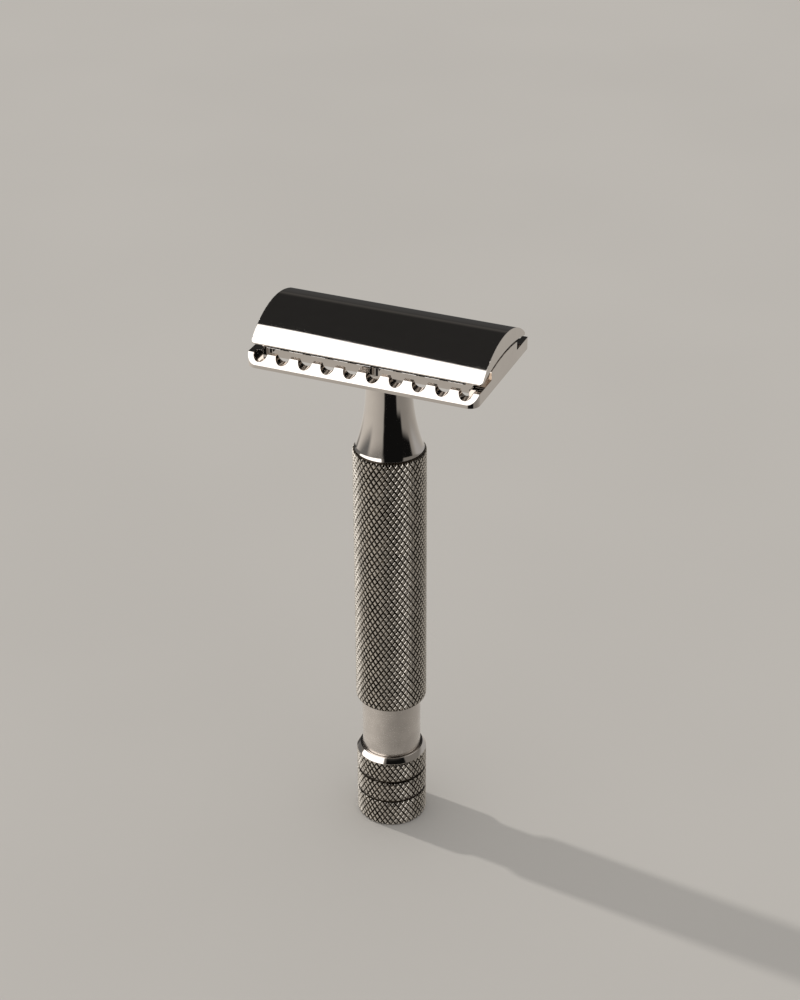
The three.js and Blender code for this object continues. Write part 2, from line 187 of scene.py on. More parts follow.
@dataclass(frozen=True)
class Finish:
    """A metal surface: its colour, its polish and the marks of its making and use.

    Sizes are millimetres. The colour is the share of light that the metal sends back.
    """

    name: str
    slot: str
    colour: Colour
    roughness: float
    lay: Lay = Lay.ROUND
    line_pitch: float = 0.12
    line_depth: float = 0.0006
    wave_pitch: float = 3.0
    wave_depth: float = 0.0015
    mottle: float = 0.05
    smudge: float = 0.04
    hairline: float = 0.06

    def tint(self, nodes: Nodes, place: bpy.types.NodeSocket) -> bpy.types.NodeSocket:
        """Wanders a little about the metal's colour.

        Args:
            nodes: The material's tree.
            place: The position in millimetres.

        Returns:
            The base colour.
        """
        dull = tuple(channel * (1 - 2 * self.mottle) for channel in self.colour)
        cloud = nodes.ramp(nodes.grain(place, CLOUD_SCALE, CLOUD_DETAIL), *CLOUD_RANGE)
        return nodes.blend(cloud, (*self.colour, 1), (*dull, 1))

    def polish(self, nodes: Nodes, place: bpy.types.NodeSocket,
               lines: bpy.types.NodeSocket) -> bpy.types.NodeSocket:
        """Gives the roughness, with faint handling smudges and hairline scratches.

        Args:
            nodes: The material's tree.
            place: The position in millimetres.
            lines: The fine tool lines, 0 to 1.

        Returns:
            The roughness socket.
        """
        cloud = nodes.grain(place, SMUDGE_SCALE, SMUDGE_DETAIL)
        smudge = nodes.ramp(cloud, *SMUDGE_RANGE, 0.0, self.smudge)
        hair = nodes.ramp(lines, *HAIR_RANGE, 0.0, self.hairline)
        worn = nodes.math("ADD", smudge, hair)
        return nodes.math("ADD", worn, self.roughness)

    def stretched(self, nodes: Nodes, place: bpy.types.NodeSocket) -> bpy.types.NodeSocket:
        """Draws the position out along the tool's lines.

        Args:
            nodes: The material's tree.
            place: The position in millimetres.

        Returns:
            A vector that changes slowly along the lines and once a pitch across them.
        """
        across = 1 / self.line_pitch
        x, y, z = nodes.split(place)
        if self.lay is Lay.LENGTHWISE:
            return nodes.join(nodes.math("MULTIPLY", x, LENGTHWISE_DRAW), nodes.math("MULTIPLY", y, across),
                              nodes.math("MULTIPLY", z, across))
        squares = [nodes.math("MULTIPLY", side, side) for side in (x, y)]
        radius = nodes.math("SQRT", nodes.math("ADD", *squares))
        height = nodes.math("MULTIPLY", nodes.math("ADD", z, radius), across)
        drawn = [nodes.math("MULTIPLY", side, ROUND_DRAW) for side in (x, y)]
        return nodes.join(*drawn, height)

    def build(self) -> bpy.types.Material:
        """Makes the material.

        Returns:
            A node material that reads object coordinates.
        """
        material = bpy.data.materials.new(self.name)
        material.use_nodes = True
        nodes = Nodes(material.node_tree)
        shader = material.node_tree.nodes["Principled BSDF"]
        spot = nodes.add("ShaderNodeTexCoord").outputs["Object"]
        place = nodes.vector("SCALE", spot).outputs[0]
        place.node.inputs["Scale"].default_value = 1 / MM
        lines = nodes.grain(self.stretched(nodes, place), 1.0, LINE_DETAIL)
        waves = nodes.grain(place, 1 / self.wave_pitch, WAVE_DETAIL)
        broad = nodes.add("ShaderNodeBump", {"Strength": 1.0, "Distance": self.wave_depth * MM,
                                             "Height": waves})
        fine = nodes.add("ShaderNodeBump", {"Strength": 1.0, "Distance": self.line_depth * MM,
                                            "Height": lines, "Normal": broad})
        shader.inputs["Metallic"].default_value = 1.0
        nodes.feed(shader.inputs["Base Color"], self.tint(nodes, place))
        nodes.feed(shader.inputs["Roughness"], self.polish(nodes, place, lines))
        nodes.feed(shader.inputs["Normal"], fine)
        return material


@dataclass(frozen=True)
class KnurledFinish(Finish):
    """Cut steel whose grooves carry painted shade and grime, darker towards their bottoms, while the crests
    stay bright.

    The steel is dark below one share of the depth down from the crests and bright above the other.
    A patch is how far the dark creeps up or down in places.
    """

    crest: float = 6.8
    depth: float = 0.3
    dark_below: float = 0.85
    bright_above: float = 0.15
    patch: float = 0.05
    # The near-black painted groove shade, with grime, that the bottoms of the cuts go to.
    groove_shade_and_grime_colour: Colour = (0.06, 0.048, 0.036)

    def tint(self, nodes: Nodes, place: bpy.types.NodeSocket) -> bpy.types.NodeSocket:
        """Darkens the colour towards the bottom of the cuts, painting in their shade along with grime.

        Args:
            nodes: The material's tree.
            place: The position in millimetres.

        Returns:
            The base colour.
        """
        bright = super().tint(nodes, place)
        x, y, _ = nodes.split(place)
        radius = nodes.vector("LENGTH", nodes.join(x, y, 0.0)).outputs["Value"]
        cloud = nodes.grain(place, PATCH_SCALE, PATCH_DETAIL)
        height = nodes.math("ADD", radius, nodes.ramp(cloud, *PATCH_RANGE, -self.patch, self.patch))
        dark, light = (self.crest - share * self.depth for share in (self.dark_below, self.bright_above))
        # Painted shade and grime: the colour goes dark towards the bottom of the cuts.
        return nodes.blend(nodes.ramp(height, dark, light), (*self.groove_shade_and_grime_colour, 1), bright)


STEEL: Colour = (0.78, 0.72, 0.665)
MIRROR = Finish("mirror_steel", "polished_steel", STEEL, 0.045, Lay.LENGTHWISE, line_depth=0.00015,
                wave_depth=0.0012, mottle=0.02, smudge=0.03, hairline=0.05)
MIRROR_TURNED = Finish("mirror_turned_steel", "polished_steel", STEEL, 0.05, Lay.ROUND, line_depth=0.0002,
                       wave_depth=0.001, mottle=0.02, smudge=0.03, hairline=0.06)
SATIN = Finish("satin_turned_steel", "satin_steel", STEEL, 0.26, Lay.ROUND, line_pitch=0.16,
               line_depth=0.004, wave_depth=0.003, mottle=0.06, smudge=0.06, hairline=0.1)
KNURLED = KnurledFinish("knurled_steel", "knurled_steel", (0.76, 0.7, 0.62), 0.27, Lay.ROUND,
                        line_pitch=0.1, line_depth=0.002, mottle=0.08, smudge=0.08, hairline=0.1)
BLADE = Finish("blade_steel", "blade_steel", (0.72, 0.73, 0.74), 0.16, Lay.LENGTHWISE, line_pitch=0.08,
               line_depth=0.0008, wave_depth=0.004, mottle=0.05, smudge=0.06, hairline=0.12)
BRASS = Finish("bush_brass", "bush_brass", (0.8, 0.6, 0.3), 0.24, Lay.ROUND, line_pitch=0.14,
               line_depth=0.003, mottle=0.1, smudge=0.1, hairline=0.1)
SPRING = Finish("spring_steel", "spring_steel", (0.5, 0.49, 0.47), 0.3, Lay.ROUND, line_pitch=0.12,
                line_depth=0.002, mottle=0.1, smudge=0.08, hairline=0.08)


class Wardrobe:
    """Every finish made once, looked up by the finish itself."""

    def __init__(self) -> None:
        """Starts with no material made."""
        self.made: dict[str, bpy.types.Material] = {}

    def get(self, finish: Finish) -> bpy.types.Material:
        """Looks up a finish's material, making it on first use.

        Args:
            finish: The finish.

        Returns:
            Its material.
        """
        if finish.name not in self.made:
            self.made[finish.name] = finish.build()
        return self.made[finish.name]


WARDROBE = Wardrobe()


# -------------------------------------------------------------------- meshes


def arc(centre: Point, radius: float, start: float, end: float, steps: int) -> list[Point]:
    """Points along an arc.

    Args:
        centre: The arc's centre.
        radius: Its radius.
        start: First angle in radians, anticlockwise from the first axis.
        end: Last angle.
        steps: Straight steps between them.

    Returns:
        The points, one more than the steps.
    """
    turns = [start + (end - start) * i / steps for i in range(steps + 1)]
    return [(centre[0] + radius * math.cos(t), centre[1] + radius * math.sin(t)) for t in turns]


def eased(points: list[Point], radius: float, steps: int = 4, least_turn: float = 0.35) -> list[Point]:
    """Rounds the corners of a closed outline.

    Args:
        points: The outline's corners, the first not repeated.
        radius: How far from a corner the rounding starts.
        steps: Straight steps round each corner.
        least_turn: Corners that turn less than this, in radians, are left as they are.

    Returns:
        The rounded outline.
    """
    out: list[Point] = []
    for i, point in enumerate(points):
        corner = Vector(point)
        back = Vector(points[i - 1]) - corner
        ahead = Vector(points[(i + 1) % len(points)]) - corner
        if math.pi - back.angle(ahead, math.pi) < least_turn or point[0] == 0:
            out.append(point)
            continue
        reach = min(radius, back.length * 0.45, ahead.length * 0.45)
        first, last = corner + back.normalized() * reach, corner + ahead.normalized() * reach
        for k in range(steps + 1):
            t = k / steps
            spot = first * (1 - t) ** 2 + corner * 2 * t * (1 - t) + last * t**2
            out.append((spot.x, spot.y))
    return out


def circle_radius(half_chord: float, rise: float) -> float:
    """Radius of the arc that spans a half chord with a given rise."""
    return (half_chord**2 + rise**2) / (2 * rise)


def new_object(name: str, mesh: bpy.types.Mesh) -> bpy.types.Object:
    """Puts a mesh in the scene as an object at the origin.

    Args:
        name: The object's name.
        mesh: Its mesh.

    Returns:
        The object.
    """
    body = bpy.data.objects.new(name, mesh)
    bpy.context.scene.collection.objects.link(body)
    return body


def from_bmesh(name: str, bm: bmesh.types.BMesh) -> bpy.types.Object:
    """Merges doubles, turns the faces outwards and makes the object.

    Args:
        name: The object's name.
        bm: The mesh under construction, which is freed.

    Returns:
        The object.
    """
    bmesh.ops.remove_doubles(bm, verts=bm.verts, dist=SAME_POINT)
    bmesh.ops.recalc_face_normals(bm, faces=bm.faces)
    mesh = bpy.data.meshes.new(name)
    bm.to_mesh(mesh)
    bm.free()
    return new_object(name, mesh)


def lofted(name: str, rings: list[list[Vector]], ends: bool) -> bpy.types.Object:
    """Skins a row of closed rings.

    Args:
        name: The object's name.
        rings: Rings with the same number of points.
        ends: Whether the first and last ring are filled.

    Returns:
        The object, in millimetres.
    """
    bm = bmesh.new()
    rows = [[bm.verts.new(point) for point in ring] for ring in rings]
    for low, high in zip(rows, rows[1:]):
        for i in range(len(low)):
            bm.faces.new((low[i - 1], low[i], high[i], high[i - 1]))
    if ends:
        bm.faces.new(rows[0])
        bm.faces.new(rows[-1])
    return from_bmesh(name, bm)


def turned(name: str, profile: list[Point], segments: int = 160) -> bpy.types.Object:
    """Turns a closed profile of radius and height about Z.

    Args:
        name: The object's name.
        profile: Corners of the section, the first not repeated.
        segments: Straight steps round the axis.

    Returns:
        The object, in millimetres.
    """
    angles = [2 * math.pi * i / segments for i in range(segments)]
    spokes = [(math.cos(angle), math.sin(angle)) for angle in angles]
    rings = [[Vector((r * x, r * y, z)) for x, y in spokes] for r, z in [*profile, profile[0]]]
    return lofted(name, rings, False)


def plan_prism(name: str, outline: list[Point], low: float, high: float) -> bpy.types.Object:
    """Raises a plan outline between two heights."""
    return lofted(name, [[Vector((x, y, z)) for x, y in outline] for z in (low, high)], True)


def section_prism(name: str, outline: list[Point], stations: list[float]) -> bpy.types.Object:
    """Runs a section drawn in Y and Z along X through some stations."""
    return lofted(name, [[Vector((x, y, z)) for y, z in outline] for x in stations], True)


def rounded_rectangle(length: float, width: float, radius: float, steps: int = 8) -> list[Point]:
    """Draws a centred rectangle with round corners, anticlockwise.

    Args:
        length: Its size along the first axis.
        width: Its size along the second.
        radius: Radius of the corners.
        steps: Straight steps round a corner.

    Returns:
        The outline.
    """
    x, y = length / 2 - radius, width / 2 - radius
    out: list[Point] = []
    for i, (cx, cy) in enumerate(((x, y), (-x, y), (-x, -y), (x, -y))):
        out += arc((cx, cy), radius, i * math.pi / 2, (i + 1) * math.pi / 2, steps)
    return out


def disc(radius: float, x: float = 0.0, steps: int = 64) -> list[Point]:
    """A round outline centred on the X axis."""
    return arc((x, 0.0), radius, 0.0, 2 * math.pi, steps)[:-1]


def baked(source: bpy.types.Object, *helpers: bpy.types.Object) -> bpy.types.Object:
    """Turns an object's evaluated shape into its plain mesh.

    Args:
        source: The object with modifiers, which are then removed.
        *helpers: Objects that the modifiers read, which are deleted.

    Returns:
        The same object.
    """
    bpy.context.view_layer.update()
    graph = bpy.context.evaluated_depsgraph_get()
    mesh = bpy.data.meshes.new_from_object(source.evaluated_get(graph), depsgraph=graph)
    source.modifiers.clear()
    source.data = mesh
    mesh.name = source.name
    for helper in helpers:
        bpy.data.objects.remove(helper)
    return source


def joined(target: bpy.types.Object, *others: bpy.types.Object) -> bpy.types.Object:
    """Adds other objects' meshes and materials to one object's mesh and deletes them.

    Args:
        target: The object that is kept.
        *others: The objects that are taken in.

    Returns:
        The target.
    """
    with bpy.context.temp_override(active_object=target, selected_editable_objects=[target, *others]):
        bpy.ops.object.join()
    return target


def bevelled(body: bpy.types.Object, width: float, segments: int, angle: float) -> bpy.types.Object:
    """Rounds every sharp edge a little and evens the shading over flat faces.

    Args:
        body: The object, in millimetres.
        width: How far the rounding reaches from an edge.
        segments: Steps round an edge.
        angle: The least angle that counts as sharp, in degrees.

    Returns:
        The same object with a plain mesh.
    """
    smooth(body, 180)
    bevel = body.modifiers.new("edges", "BEVEL")
    bevel.width = width
    bevel.segments = segments
    bevel.limit_method = "ANGLE"
    bevel.angle_limit = math.radians(angle)
    bevel.use_clamp_overlap = True
    bevel.miter_outer = "MITER_ARC"
    even = body.modifiers.new("even", "WEIGHTED_NORMAL")
    even.mode = "FACE_AREA"
    even.weight = 50
    return baked(body)


def smooth(body: bpy.types.Object, angle: float) -> bpy.types.Object:
    """Shades an object smooth, with edges sharper than the angle kept crisp.

    Args:
        body: The object.
        angle: In degrees; 180 keeps no edge crisp.

    Returns:
        The same object.
    """
    body.data.shade_smooth()
    if angle < 180:
        body.data.set_sharp_from_angle(angle=math.radians(angle))
    return body


def dressed(body: bpy.types.Object, finish: Finish) -> bpy.types.Object:
    """Clears an object's materials and gives it one finish.

    Args:
        body: The object.
        finish: The finish.

    Returns:
        The same object.
    """
    body.data.materials.clear()
    body.data.materials.append(WARDROBE.get(finish))
    return body


def settled(body: bpy.types.Object, rides_on: str, slot: str, *stands_for: str) -> bpy.types.Object:
    """Brings a finished mesh to metres, attaches it to its body and hides the frame nodes it stands for.

    Args:
        body: The object, in millimetres.
        rides_on: The frame body that carries it.
        slot: The record's material slot; not used.
        *stands_for: Frame nodes that it replaces.

    Returns:
        The same object.
    """
    body.data.transform(Matrix.Scale(MM, 4))
    body.data.update()
    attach(body, rides_on)
    if stands_for:
        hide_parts(*stands_for)
    LOG.info("%s: %d faces, rides on %s", body.name, len(body.data.polygons), rides_on)
    return body


@dataclass(frozen=True)
class Span:
    """The lowest and highest corner of a frame node, in millimetres."""

    low: Vector
    high: Vector

    @classmethod
    def of(cls, node: str) -> Span:
        """Reads a node's box from the frame."""
        low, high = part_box(node)
        return cls(low / MM, high / MM)


# -------------------------------------------------------------- geometry trees


class GeometryTree:
    """A Geometry Nodes tree with named inputs, used once on one object."""

    def __init__(self, name: str) -> None:
        """Starts a tree with a geometry input and output.

        Args:
            name: The tree's name.
        """
        self.tree = bpy.data.node_groups.new(name, "GeometryNodeTree")
        self.nodes = Nodes(self.tree)
        self.values: dict[str, object] = {}
        self.socket("Geometry", "NodeSocketGeometry")
        self.tree.interface.new_socket("Geometry", in_out="OUTPUT", socket_type="NodeSocketGeometry")
        self.start = self.tree.nodes.new("NodeGroupInput")

    def socket(self, name: str, kind: str) -> bpy.types.NodeTreeInterfaceSocket:
        """Declares an input."""
        return self.tree.interface.new_socket(name, in_out="INPUT", socket_type=kind)

    def given(self, name: str, value: object) -> bpy.types.NodeSocket:
        """Declares a named input with the value it will be given.

        Args:
            name: The input's name.
            value: A number, whole number, material or object.

        Returns:
            The socket inside the tree that carries it.
        """
        kinds = {int: "NodeSocketInt", float: "NodeSocketFloat", bpy.types.Material: "NodeSocketMaterial",
                 bpy.types.Object: "NodeSocketObject"}
        made = self.socket(name, kinds[type(value)])
        self.values[made.identifier] = value
        return self.start.outputs[name]

    def close(self, geometry: object, material: bpy.types.NodeSocket) -> None:
        """Ends the tree in Realize Instances and Set Material.

        Args:
            geometry: What the tree has made.
            material: The socket that carries its material.
        """
        real = self.nodes.add("GeometryNodeRealizeInstances", {0: geometry})
        painted = self.nodes.add("GeometryNodeSetMaterial", {"Geometry": real, "Material": material})
        end = self.tree.nodes.new("NodeGroupOutput")
        self.nodes.feed(end.inputs[0], painted)

    def apply(self, body: bpy.types.Object, *helpers: bpy.types.Object) -> bpy.types.Object:
        """Runs the tree on an object and keeps the result as its plain mesh.

        Args:
            body: The object it runs on.
            *helpers: Objects that the tree reads, which are deleted.

        Returns:
            The same object.
        """
        modifier = body.modifiers.new(self.tree.name, "NODES")
        modifier.node_group = self.tree
        for identifier, value in self.values.items():
            modifier[identifier] = value
        return baked(body, *helpers)


def trimmed(nodes: Nodes, geometry: object, crest: object, chamfer: object, low: object,
            high: object) -> bpy.types.Node:
    """Cuts realised geometry back to a chamfered cylinder about Z.

    Args:
        nodes: The geometry tree.
        geometry: What is cut.
        crest: The cylinder's radius.
        chamfer: The 45 degree chamfer at both ends.
        low: The lower end.
        high: The upper end.

    Returns:
        The geometry with its points pulled in.
    """
    x, y, z = nodes.split(nodes.add("GeometryNodeInputPosition"))
    height = nodes.math("MINIMUM", nodes.math("MAXIMUM", z, low), high)
    ends = nodes.math("SUBTRACT", height, low), nodes.math("SUBTRACT", high, height)
    from_end = nodes.math("MINIMUM", *ends)
    slope = nodes.math("ADD", nodes.math("SUBTRACT", crest, chamfer), from_end)
    limit = nodes.math("MINIMUM", crest, slope)
    radius = nodes.vector("LENGTH", nodes.join(x, y, 0.0)).outputs["Value"]
    share = nodes.math("MINIMUM", nodes.math("DIVIDE", limit, radius), 1.0)
    place = nodes.join(nodes.math("MULTIPLY", x, share), nodes.math("MULTIPLY", y, share), height)
    moved = nodes.add("GeometryNodeSetPosition", {"Geometry": geometry, "Position": place})
    return nodes.add("GeometryNodeMergeByDistance", {"Geometry": moved, "Distance": SAME_CUT_POINT})


@dataclass(frozen=True)
class Knurl:
    """Diamond knurling: flat-topped pyramids in staggered rows round a cylinder."""

    columns: int = 39
    row_pitch: float = 1.63
    depth: float = 0.3
    top_share: float = 0.52
    shoulder_share: float = 0.66
    shoulder_height: float = 0.84
    end_inset: float = 0.01

    def diamond(self, tree: GeometryTree, crest: float) -> bpy.types.Node:
        """Makes one pyramid with a bevelled top, standing on its base.

        Args:
            tree: The geometry tree.
            crest: Radius of the crests.

        Returns:
            The node that gives the pyramid.
        """
        nodes = tree.nodes
        depth = tree.given("Depth", self.depth)
        cone = nodes.add("GeometryNodeMeshCone", {
            "Vertices": 4, "Side Segments": 2, "Fill Segments": 1, "Radius Top": self.top_share,
            "Radius Bottom": 1.0, "Depth": depth})
        middle = nodes.math("MULTIPLY", depth, 0.5)
        place = nodes.add("GeometryNodeInputPosition")
        x, y, z = nodes.split(place)
        away = nodes.math("ABSOLUTE", nodes.math("SUBTRACT", z, middle))
        tenth = nodes.math("MULTIPLY", depth, 0.1)
        is_middle = nodes.math("LESS_THAN", away, tenth)
        widen = self.shoulder_share / ((1 + self.top_share) / 2)
        lifted = nodes.join(nodes.math("MULTIPLY", x, widen), nodes.math("MULTIPLY", y, widen),
                            nodes.math("MULTIPLY", depth, self.shoulder_height))
        shaped = nodes.add("GeometryNodeSetPosition",
                           {"Geometry": cone, "Selection": is_middle, "Position": lifted})
        half_width = math.pi * (crest - self.depth) / self.columns
        scale = (half_width, self.row_pitch / 2, 1.0)
        return nodes.add("GeometryNodeTransform", {"Geometry": shaped, "Scale": scale})

    def cut(self, name: str, crest: float, low: float, high: float, chamfer: float) -> bpy.types.Object:
        """Makes the knurled skin of one band.

        Args:
            name: The object's name.
            crest: Radius of the crests.
            low: Bottom of the band.
            high: Top of the band.
            chamfer: Chamfer at both ends of the band.

        Returns:
            The diamonds as an object in millimetres.
        """
        tree = GeometryTree("knurling")
        nodes = tree.nodes
        columns = tree.given("Columns", self.columns)
        bottom = tree.given("Bottom", low)
        top = tree.given("Top", high)
        radius = tree.given("Crest radius", crest)
        bevel = tree.given("End chamfer", chamfer)
        material = tree.given("Material", WARDROBE.get(KNURLED))
        half_rows = math.ceil((high - low) / (self.row_pitch / 2)) + 1
        rows = tree.given("Rows", half_rows)
        points = nodes.add("GeometryNodePoints", {"Count": nodes.math("MULTIPLY", columns, rows)})
        index = nodes.add("GeometryNodeInputIndex")
        row = nodes.math("FLOOR", nodes.math("DIVIDE", index, columns))
        column = nodes.math("FLOORED_MODULO", index, columns)
        shift = nodes.math("MULTIPLY", nodes.math("FLOORED_MODULO", row, 2.0), 0.5)
        share = nodes.math("DIVIDE", nodes.math("ADD", column, shift), columns)
        angle = nodes.math("MULTIPLY", share, 2 * math.pi)
        foot = nodes.math("SUBTRACT", radius, self.depth)
        height = nodes.math("ADD", bottom, nodes.math("MULTIPLY", row, self.row_pitch / 2))
        place = nodes.join(nodes.math("MULTIPLY", foot, nodes.math("COSINE", angle)),
                           nodes.math("MULTIPLY", foot, nodes.math("SINE", angle)), height)
        placed = nodes.add("GeometryNodeSetPosition", {"Geometry": points, "Position": place})
        turn = nodes.join(math.pi / 2, 0.0, nodes.math("ADD", angle, math.pi / 2))
        copies = nodes.add("GeometryNodeInstanceOnPoints",
                           {"Points": placed, "Instance": self.diamond(tree, crest), "Rotation": turn})
        real = nodes.add("GeometryNodeRealizeInstances", {0: copies})
        inner_low = nodes.math("ADD", bottom, self.end_inset)
        inner_high = nodes.math("SUBTRACT", top, self.end_inset)
        tree.close(trimmed(nodes, real, radius, bevel, inner_low, inner_high), material)
        return tree.apply(new_object(name, bpy.data.meshes.new(name)))


# ---------------------------------------------------------------------- head


@dataclass(frozen=True)
class Cap:
    """The curved top cap, which is one cylinder outside and a flatter one underneath."""

    edge_thickness: float = 0.2
    underside_rise: float = 1.6
    corner: float = 0.55
    edge_round: float = 0.09
    edge_steps: int = 3
    sharp_angle: float = 35.0
    outer_steps: int = 96
    corner_steps: int = 6

    def half_width(self, half: float, from_end: float) -> float:
        """Finds half the cap's width near its end, inside its small plan corners.

        Args:
            half: Half the cap's full width.
            from_end: The distance from the end.

        Returns:
            Half the width there.
        """
        if from_end >= self.corner:
            return half
        return half - self.corner + math.sqrt(self.corner**2 - (self.corner - from_end) ** 2)

    def section(self, span: Span, half: float) -> list[Point]:
        """The cap's section in Y and Z, limited to a half width.

        Args:
            span: The cap's box.
            half: The half width that is kept.

        Returns:
            A closed outline, over the top and back underneath.
        """
        full, edge = span.high.y, span.low.z
        outer = circle_radius(full, span.high.z - edge - self.edge_thickness)
        inner = circle_radius(full, self.underside_rise)
        over, under = math.asin(half / outer), math.asin(half / inner)
        quarter = math.pi / 2
        top = arc((0.0, span.high.z - outer), outer, quarter + over, quarter - over, self.outer_steps)
        middle = (0.0, edge + self.underside_rise - inner)
        bed = arc(middle, inner, quarter - under, quarter + under, self.outer_steps)
        return top + bed

    def build(self) -> bpy.types.Object:
        """Makes, finishes and settles the cap.

        Returns:
            The settled cap.
        """
        span = Span.of("top_cap")
        turns = [math.pi / 2 * i / self.corner_steps for i in range(self.corner_steps + 1)]
        steps = [self.corner * (1 - math.cos(turn)) for turn in turns]
        left = [(span.low.x + d, self.half_width(span.high.y, d)) for d in steps]
        right = [(-x, half) for x, half in reversed(left)]
        rings = [[Vector((x, y, z)) for y, z in self.section(span, half)] for x, half in left + right]
        cap = bevelled(lofted("cap_shell", rings, True), self.edge_round, self.edge_steps, self.sharp_angle)
        return settled(dressed(cap, MIRROR), "cap", MIRROR.slot, "top_cap")


@dataclass(frozen=True)
class GuardPlate:
    """The base plate: a crowned bed between two scalloped guards, with slots for the lather."""

    thickness: float = 2.3
    side_height: float = 0.65
    bevel_run: float = 1.5
    bed_width: float = 12.6
    bed_radius: float = 36.8
    corner: float = 1.9
    scallops: int = 10
    scallop_margin: float = 2.45
    scallop_radius: float = 1.35
    scallop_lift: float = 0.15
    scallop_reach: float = 2.7
    slot_lip: float = 0.9
    slot_width: float = 3.0
    slot_web: float = 1.6
    slot_end: float = 2.2
    slot_corner: float = 0.75
    pin_spacing: float = 26.4
    pin_hole: float = 1.35
    stud_hole: float = 2.6
    neck_hole: float = 4.36
    neck_depth: float = 1.0
    edge_round: float = 0.055
    edge_steps: int = 2
    sharp_angle: float = 25.0
    crown_steps: int = 40
    corner_steps: int = 16
    scallop_steps: int = 72
    hole_steps: int = 96

    def section(self, span: Span) -> list[Point]:
        """Draws the plate's section in Y and Z.

        Args:
            span: The plate's box.

        Returns:
            A closed outline.
        """
        outer, low = span.high.y, span.low.z
        top, bed, land = outer - self.bevel_run, self.bed_width / 2, low + self.thickness
        reach = math.asin(bed / self.bed_radius)
        centre = (0.0, span.high.z - self.bed_radius)
        crown = arc(centre, self.bed_radius, math.pi / 2 - reach, math.pi / 2 + reach, self.crown_steps)
        right = [(outer, low), (outer, low + self.side_height), (top, land), (bed, land)]
        left = [(-y, z) for y, z in reversed(right)]
        return right + crown + left

    def cutters(self, span: Span) -> bpy.types.Object:
        """Makes the lather slots and the pin, stud and neck holes as one cutting body.

        Args:
            span: The plate's box.

        Returns:
            The cutting body.
        """
        low, high = span.low.z - PAST, span.high.z + PAST
        length = span.high.x - self.slot_end - self.slot_web / 2
        x = self.slot_web / 2 + length / 2
        y = span.high.y - self.bevel_run - self.slot_lip - self.slot_width / 2
        slot = rounded_rectangle(length, self.slot_width, self.slot_corner)
        bodies = [plan_prism("slot", [(sx * x + px, sy * y + py) for px, py in slot], low, high)
                  for sx in (-1, 1) for sy in (-1, 1)]
        bodies += [plan_prism("pin_hole", disc(self.pin_hole, side * self.pin_spacing / 2), low, high)
                   for side in (-1, 1)]
        seat = span.low.z + self.neck_depth
        bodies.append(turned("neck_hole", [(0.0, low), (self.neck_hole, low), (self.neck_hole, seat),
                                           (self.stud_hole, seat), (self.stud_hole, high), (0.0, high)],
                             self.hole_steps))
        return joined(*bodies)

    def build(self) -> bpy.types.Object:
        """Makes, finishes and settles the plate.

        Returns:
            The settled plate.
        """
        span = Span.of("base_plate")
        plate = section_prism("guard_plate", self.section(span), [span.low.x - PAST, span.high.x + PAST])
        plan = rounded_rectangle(2 * span.high.x, 2 * span.high.y, self.corner, self.corner_steps)
        outline = plan_prism("outline", plan, span.low.z - PAST, span.high.z + PAST)
        holes = self.cutters(span)

        tree = GeometryTree("guard_plate_cuts")
        nodes = tree.nodes
        count = tree.given("Scallops", self.scallops)
        radius = tree.given("Scallop radius", self.scallop_radius)
        reach = tree.given("Scallop reach", self.scallop_reach)
        first = tree.given("First scallop", span.low.x + self.scallop_margin)
        height = tree.given("Scallop height", span.low.z + self.thickness + self.scallop_lift)
        shape = tree.given("Outline", outline)
        cuts = tree.given("Holes", holes)
        material = tree.given("Material", WARDROBE.get(MIRROR))
        pitch = (2 * span.high.x - 2 * self.scallop_margin) / (self.scallops - 1)
        line = nodes.add("GeometryNodeMeshLine", {
            "Count": count, "Start Location": nodes.join(first, 0.0, height), "Offset": (pitch, 0.0, 0.0)})
        depth = nodes.math("MULTIPLY", reach, 2.0)
        bar = nodes.add("GeometryNodeMeshCylinder", {
            "Vertices": self.scallop_steps, "Radius": radius, "Depth": depth})
        tools = []
        for side in (-1, 1):
            lying = nodes.add("GeometryNodeTransform", {
                "Geometry": bar, "Rotation": (math.pi / 2, 0.0, 0.0),
                "Translation": (0.0, side * span.high.y, 0.0)})
            row = nodes.add("GeometryNodeInstanceOnPoints", {"Points": line, "Instance": lying})
            tools.append(nodes.add("GeometryNodeRealizeInstances", {0: row}))
        bodies = {name: nodes.add("GeometryNodeObjectInfo", {"Object": socket}).outputs["Geometry"]
                  for name, socket in (("outline", shape), ("holes", cuts))}
        cornered = nodes.add("GeometryNodeMeshBoolean", {"Mesh 2": tree.start.outputs[0]},
                             operation="INTERSECT", solver="MANIFOLD")
        nodes.feed(cornered.inputs["Mesh 2"], bodies["outline"])
        cut = nodes.add("GeometryNodeMeshBoolean", {"Mesh 1": cornered},
                        operation="DIFFERENCE", solver="MANIFOLD")
        for tool in (bodies["holes"], *tools):
            nodes.feed(cut.inputs["Mesh 2"], tool)
        tree.close(cut, material)
        plate = tree.apply(plate, outline, holes)
        plate = bevelled(plate, self.edge_round, self.edge_steps, self.sharp_angle)
        return settled(dressed(plate, MIRROR), "handle", MIRROR.slot, "base_plate")


